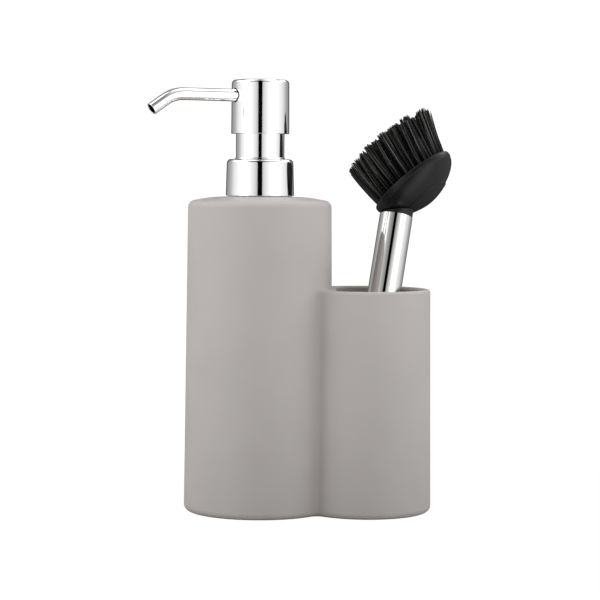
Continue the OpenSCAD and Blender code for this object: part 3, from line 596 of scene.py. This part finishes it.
# the bristles: a square grid of tufts bent into a disc, each tuft a bundle of curved filaments;
# u is towards the head's far end and v across it
def buildBristles():
    look = {"plateRadius": 20.4, "reach": 20.0, "tufts": 9, "perTuft": 26, "tuftRadius": 1.25,
            "length": 25.2, "root": -0.9, "crown": 3.6, "tuftRagged": (-1.2, 0.8),
            "ragged": (-0.96, 0.6), "flareU": 8.7, "flareBack": 0.8, "flareV": 2.4,
            "flarePower": 1.2, "flareCurve": 1.05, "bow": 0.8, "splay": 0.25, "wander": 0.25,
            "tuftWander": 0.5, "splayCurve": 1.4, "wave": 0.25, "radius": 0.25, "taper": 0.25,
            "points": 7, "sharpAngle": 80, "seed": 7}
    pick = random.Random(look["seed"])
    n = look["tufts"]
    data = bpy.data.curves.new("bristleCurves", "CURVE")
    data.dimensions = "3D"
    data.bevel_depth = look["radius"] * mm
    data.bevel_resolution = 0
    data.resolution_u = 1
    data.use_fill_caps = True
    place = onHandle()
    reach = (look["reach"] - look["tuftRadius"]) * n / (n - 1)
    tones = []
    for i in range(n):
        for j in range(n):
            cu, cv = discPoint((2 * i + 1) / n - 1, (2 * j + 1) / n - 1)
            tuftLong = pick.uniform(*look["tuftRagged"])
            tuftU, tuftV = pick.gauss(0, look["tuftWander"]), pick.gauss(0, look["tuftWander"])
            for strand in range(look["perTuft"]):
                turn = pick.uniform(0, 2 * math.pi)
                out = math.sqrt(pick.random())
                du, dv = out * math.cos(turn), out * math.sin(turn)
                u0 = cu * reach + du * look["tuftRadius"]
                v0 = cv * reach + dv * look["tuftRadius"]
                q, w = u0 / look["plateRadius"], v0 / look["plateRadius"]
                s = max(0, (q + 1) / 2)
                long = (look["length"] - look["crown"] * (q * q + w * w)
                        + pick.uniform(*look["ragged"]) + tuftLong)
                splayU = look["splay"] * du + pick.gauss(0, look["wander"]) + tuftU
                splayV = look["splay"] * dv + pick.gauss(0, look["wander"]) + tuftV
                wave = pick.uniform(-look["wave"], look["wave"])
                flare = look["flareU"] * s ** look["flarePower"] - look["flareBack"]
                tones.append(pick.random())
                spline = data.splines.new("POLY")
                spline.points.add(look["points"] - 1)
                for m, point in enumerate(spline.points):
                    t = m / (look["points"] - 1)
                    u = (u0 + flare * t ** look["flareCurve"]
                         - look["bow"] * (1 - s) ** 2 * 4 * t * (1 - t)
                         + splayU * t ** look["splayCurve"] + wave * math.sin(math.pi * t))
                    v = v0 + look["flareV"] * w * t + splayV * t ** look["splayCurve"]
                    height = look["root"] + (long - look["root"]) * t
                    point.co = (*(place @ (Vector((u, v, height)) * mm)), 1)
                    point.radius = 1 - look["taper"] * t
    holder = bpy.data.objects.new("bristleCurves", data)
    bpy.context.scene.collection.objects.link(holder)
    bpy.context.view_layer.update()
    mesh = meshOf(holder)
    bpy.data.objects.remove(holder)
    # each filament's share of the painted highlight, and the way along it for the painted root
    # shade, which its material reads
    perStrand = len(mesh.vertices) // len(tones)
    own = mesh.attributes.new("strandHighlight", "FLOAT", "POINT")
    along = mesh.attributes.new("strandAlong", "FLOAT", "POINT")
    back = place.inverted()
    for vertex in mesh.vertices:
        way = (back @ vertex.co).z / (look["length"] * mm)
        own.data[vertex.index].value = tones[vertex.index // perStrand]
        along.data[vertex.index].value = max(0, min(1, way))
    addPiece("bristleTufts", mesh, filament, "brush", ["bristles"], look["sharpAngle"])
    print("bristles:", len(tones), "filaments,", len(mesh.vertices), "vertices,", perStrand,
          "each,", len(mesh.polygons), "faces")


buildBody()
buildCollar()
buildSleeve()
buildHead()
buildSpout()
print("body and pump made")
buildHandle()
buildBowl()
buildNeckRing()
buildBristles()
print("brush made")


# light from all round as (degrees, strength): lower and upper go round the part from behind over
# the left, the front at 0 and the right; upperShare and height go from below to above
def lightWorld():
    look = {"strength": 2.07,
            "lower": [(-180, 0.03), (-152, 0.06), (-142, 0.17), (-128, 0.18), (-112, 0.27),
                      (-99, 0.4), (-88, 0.46), (-78, 0.5), (-66, 0.87), (-45, 0.87), (-34, 0.51),
                      (-22, 0.42), (-14, 0.34), (-7, 0.22), (7, 0.22), (14, 0.34), (22, 0.42),
                      (34, 0.51), (45, 1.09), (66, 1.09), (78, 0.5), (94, 0.44), (106, 0.36),
                      (128, 0.18), (142, 0.17), (152, 0.06), (180, 0.03)],
            "upper": [(-180, 0.17), (-135, 0.2), (-92, 2.0), (-45, 0.22), (0, 0.04), (45, 0.36),
                      (85, 0.56), (120, 1.3), (150, 1.0), (166, 0.2), (180, 0.17)],
            "upperShare": [(-90, 0.0), (20, 0.0), (34, 1.0), (90, 1.0)],
            "height": [(-90, 0.8), (0, 1.0), (41, 1.02), (45, 0.3), (51, 0.3), (55, 1.1),
                       (90, 0.98)]}
    world = bpy.data.worlds.new("studio")
    bpy.context.scene.world = world
    world.use_nodes = True
    tree = world.node_tree
    place = Wire(tree).node("ShaderNodeTexCoord", {}, "Generated")
    x, y, z = [place.node("ShaderNodeSeparateXYZ", {0: place}, axis) for axis in ("X", "Y", "Z")]

    def ramp(factor, steps, where):
        made = factor.node("ShaderNodeValToRGB", {0: factor})
        band = made.out.node.color_ramp
        while len(band.elements) < len(steps):
            band.elements.new(0.5)
        for element, (spot, value) in zip(band.elements, steps):
            element.position = where(spot)
            element.color = (value, value, value, 1)
        return made

    def roundSpot(degrees):
        return degrees / 360 + 0.5

    def heightSpot(degrees):
        return math.sin(math.radians(degrees)) / 2 + 0.5

    turn = place.sum("ARCTAN2", x, y * -1) * (0.5 / math.pi) + 0.5
    rise = z * 0.5 + 0.5
    lower = ramp(turn, look["lower"], roundSpot)
    upper = ramp(turn, look["upper"], roundSpot)
    share = ramp(rise, look["upperShare"], heightSpot)
    light = share.blend(lower, upper).tint(ramp(rise, look["height"], heightSpot))
    background = tree.nodes["Background"]
    place.put(background, "Color", light)
    place.put(background, "Strength", look["strength"])


# a stage object of one grey tone, with a faint grain, that can glow by itself
def addFlat(name, bm, tone, glow=0.0):
    look = {"grainSize": 0.05, "grainTone": 0.98, "rough": 0.9}
    piece = bpy.data.objects.new(name, meshFrom(bm, name))
    bpy.context.scene.collection.objects.link(piece)
    finish = Finish(name + "Finish")
    grain = finish.place.noise(look["grainSize"], detail=2)
    dress(piece, finish.set({
        "Base Color": grain.blend((tone,) * 3, (look["grainTone"] * tone,) * 3),
        "Roughness": look["rough"], "Specular IOR Level": 0.0,
        "Emission Color": (1, 1, 1, 1), "Emission Strength": glow}))
    return piece


def hideFrom(piece, *rays):
    for ray in rays:
        setattr(piece, "visible_" + ray, False)


# the stage: a white floor and dome that only the camera sees, a table card that shades the light
# from below, a dark strip behind the camera for the chrome, and a soft light above
def buildStage():
    look = {"middle": cameraPlan["place"][0], "whiteTone": 0.05, "whiteGlow": 1.0,
            "floorSize": 8.0, "floorDrop": 0.0004, "domeRadius": 5.0, "cardRadius": 0.22,
            "cardDrop": 0.0002, "cardTone": 0.4, "stripBottom": 0.29, "stripTop": 0.66,
            "stripLow": -0.2, "stripHigh": 1.9, "stripAway": 1.32, "stripTone": 0.002,
            "topSize": 0.6, "topForward": 0.15, "topHeight": 0.78, "topPower": 0.62}
    lightWorld()
    offCamera = ("diffuse", "glossy", "transmission", "shadow", "volume_scatter")
    bm = bmesh.new()
    bmesh.ops.create_grid(bm, x_segments=1, y_segments=1, size=look["floorSize"] / 2,
                          matrix=Matrix.Translation((0, 0, -look["floorDrop"])))
    floor = addFlat("floor", bm, look["whiteTone"], look["whiteGlow"])
    hideFrom(floor, *offCamera)

    bm = bmesh.new()
    bmesh.ops.create_icosphere(bm, subdivisions=3, radius=look["domeRadius"])
    dome = addFlat("backdrop", bm, look["whiteTone"], look["whiteGlow"])
    hideFrom(dome, *offCamera)

    bm = bmesh.new()
    bmesh.ops.create_circle(bm, cap_ends=True, segments=48, radius=look["cardRadius"],
                            matrix=Matrix.Translation((look["middle"], 0, -look["cardDrop"])))
    card = addFlat("tableCard", bm, look["cardTone"])
    hideFrom(card, "camera", "glossy")

    # the strip is a unit square, made wider at the top and stood up
    bm = bmesh.new()
    bmesh.ops.create_grid(bm, x_segments=1, y_segments=1, size=0.5)
    for v in bm.verts:
        v.co.x *= look["stripTop"] if v.co.y > 0 else look["stripBottom"]
        v.co.y *= look["stripHigh"] - look["stripLow"]
    centre = (look["middle"], -look["stripAway"], (look["stripLow"] + look["stripHigh"]) / 2)
    bm.transform(Matrix.Translation(centre) @ turnBy(90, "X"))
    strip = addFlat("darkStrip", bm, look["stripTone"])
    hideFrom(strip, "camera")

    light = bpy.data.lights.new("topLight", "AREA")
    light.size = look["topSize"]
    light.energy = look["topPower"]
    lamp = bpy.data.objects.new("topLight", light)
    lamp.location = (look["middle"], -look["topForward"], look["topHeight"])
    hideFrom(lamp, "glossy")
    bpy.context.scene.collection.objects.link(lamp)


buildStage()
bpy.context.scene.view_settings.view_transform = "Standard"
print("stage set")
